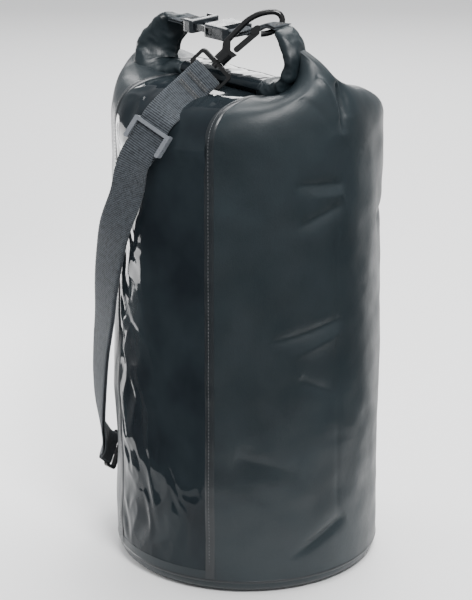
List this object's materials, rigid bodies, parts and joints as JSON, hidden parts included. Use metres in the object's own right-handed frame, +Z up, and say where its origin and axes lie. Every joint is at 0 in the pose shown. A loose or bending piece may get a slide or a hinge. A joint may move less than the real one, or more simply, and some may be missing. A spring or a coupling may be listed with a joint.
{
  "type": "roll-top dry bag",
  "caption": "Tall cylindrical roll-top dry bag with a clear window strip, a buckled roll-top handle and a webbing shoulder strap clipped on with snap hooks.",
  "frame": {"origin": "centre of the round base, on the ground it stands on", "axes": "+Z up along the bag; X along the rolled mouth, +X towards the end that the strap is clipped to; the window faces -Y"},
  "size_m": [0.2904, 0.2787, 0.5403],
  "materials": {
    "tarpaulin": "matt coated fabric with a fine weave",
    "window_film": "clear flexible film, glossy, creased",
    "seam_tape": "smooth welded tape, satin",
    "stiffener": "plain",
    "webbing": "woven polyester webbing",
    "thread": "dense bar stitching",
    "black_plastic": "moulded, glossy",
    "grey_plastic": "moulded, satin",
    "black_metal": "black finish"
  },
  "bodies": {
    "bag": {"body_panel": "tarpaulin", "end_fold_left": "tarpaulin", "end_fold_right": "tarpaulin", "collar_roll": "tarpaulin", "base_panel": "tarpaulin", "d_ring_patch": "tarpaulin", "window_panel": "window_film", "seam_tape_left": "seam_tape", "seam_tape_right": "seam_tape", "base_binding": "seam_tape", "mouth_stiffener": "stiffener", "tab_left": "webbing", "tab_right": "webbing", "strap_main": "webbing", "strap_return": "webbing", "strap_tail": "webbing", "d_ring_webbing": "webbing", "strap_bartacks": "thread", "tab_bartacks_left": "thread", "tab_bartacks_right": "thread", "buckle_plug": "black_plastic", "upper_hook_eye": "black_plastic", "lower_hook_eye": "black_plastic"},
    "socket": {"buckle_socket": "black_plastic"},
    "prong_front": {"prong_front": "black_plastic"},
    "prong_back": {"prong_back": "black_plastic"},
    "upper_hook": {"upper_hook_body": "black_plastic", "upper_hook_pin": "black_metal"},
    "upper_gate": {"upper_hook_gate": "black_plastic"},
    "lower_hook": {"lower_hook_body": "black_plastic", "lower_hook_pin": "black_metal"},
    "lower_gate": {"lower_hook_gate": "black_plastic"},
    "ring": {"d_ring": "black_metal"},
    "slider": {"slider": "grey_plastic", "slider_loop": "webbing"}
  },
  "joints": [
    {"name": "buckle_release", "type": "slide", "parent": "bag", "child": "socket", "axis": [1, 0, 0], "range_m": [0, 0.018], "deforming": ["tab_right"]},
    {"name": "prong_front_flex", "type": "hinge", "parent": "bag", "child": "prong_front", "pos_m": [-0.0356, -0.0326, 0.513], "axis": [0, 0, 1], "range_deg": [0, 18.2]},
    {"name": "prong_back_flex", "type": "hinge", "parent": "bag", "child": "prong_back", "pos_m": [-0.0356, -0.0074, 0.513], "axis": [0, 0, -1], "range_deg": [0, 18.2]},
    {"name": "upper_hook_swivel", "type": "hinge", "parent": "bag", "child": "upper_hook", "pos_m": [0.02638, -0.04829, 0.50318], "axis": [0.3861, 0.6381, 0.6661], "range_deg": [-5, 5]},
    {"name": "upper_gate_open", "type": "hinge", "parent": "upper_hook", "child": "upper_gate", "pos_m": [0.03063, -0.04327, 0.50492], "axis": [0.698, -0.674, 0.242], "range_deg": [0, 10], "stiffness_Nm_per_rad": 0.05, "springref_deg": -11.46},
    {"name": "lower_hook_swivel", "type": "hinge", "parent": "bag", "child": "lower_hook", "pos_m": [-0.13554, -0.03886, 0.058], "axis": [-0.226, 0.787, -0.574], "range_deg": [-5, 5]},
    {"name": "lower_gate_open", "type": "hinge", "parent": "lower_hook", "child": "lower_gate", "pos_m": [-0.13997, -0.03502, 0.05456], "axis": [0.1581, -0.5512, -0.8193], "range_deg": [0, 10], "stiffness_Nm_per_rad": 0.05, "springref_deg": -11.46},
    {"name": "ring_swing", "type": "hinge", "parent": "bag", "child": "ring", "pos_m": [-0.13071, 0.01498, 0.02405], "axis": [-0.042, -0.3671, -0.9292], "range_deg": [-4, 4]},
    {"name": "slider_slide", "type": "slide", "parent": "bag", "child": "slider", "axis": [-0.2851, -0.4501, -0.8462], "range_m": [-0.006, 0.006], "deforming": ["strap_return"]}
  ],
  "couplings": [
    {"joint": "prong_front_flex", "follows": "buckle_release", "rad_per_m": 17.45},
    {"joint": "prong_back_flex", "follows": "buckle_release", "rad_per_m": 17.45}
  ]
}
